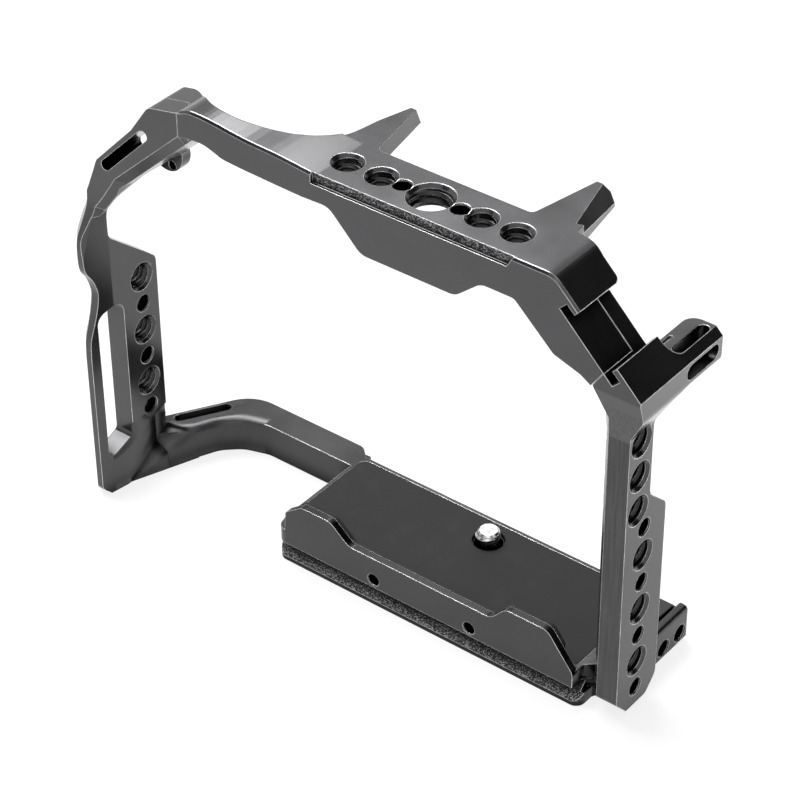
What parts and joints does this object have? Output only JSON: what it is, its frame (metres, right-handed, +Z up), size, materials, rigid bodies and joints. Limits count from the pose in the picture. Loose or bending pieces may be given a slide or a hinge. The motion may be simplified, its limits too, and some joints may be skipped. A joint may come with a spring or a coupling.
{
  "type": "camera cage",
  "caption": "Camera cage: a bolted metal frame round a camera body, with threaded holes, a slanted cold shoe, strap slots and a dovetail foot with a camera screw",
  "frame": {"origin": "centre of the bounding box in plan, at the underside of the foot", "axes": "+Z up through the camera screw, +Y away from the lens side, +X to the right seen from the lens side"},
  "size_m": [0.1528, 0.047, 0.1171],
  "materials": {
    "frame_metal": "satin anodised",
    "plate_metal": "satin anodised",
    "rubber": "matte",
    "screw_steel": "polished",
    "ring_steel": "satin",
    "black_steel": "satin black"
  },
  "bodies": {
    "root": {"top_bar": "frame_metal", "left_frame": "frame_metal", "right_bracket": "frame_metal", "base_plate": "plate_metal", "lip_pad": "rubber", "seat_pad": "rubber", "screw_ring": "ring_steel", "joint_screws": "black_steel", "tenon_screws": "black_steel"},
    "screw": {"camera_screw": "screw_steel"}
  },
  "joints": [
    {"name": "screw_spin", "type": "hinge", "parent": "root", "child": "screw", "pos_m": [0.01795, 0.0114, 0.006], "axis": [0, 0, 1], "continuous": true}
  ]
}
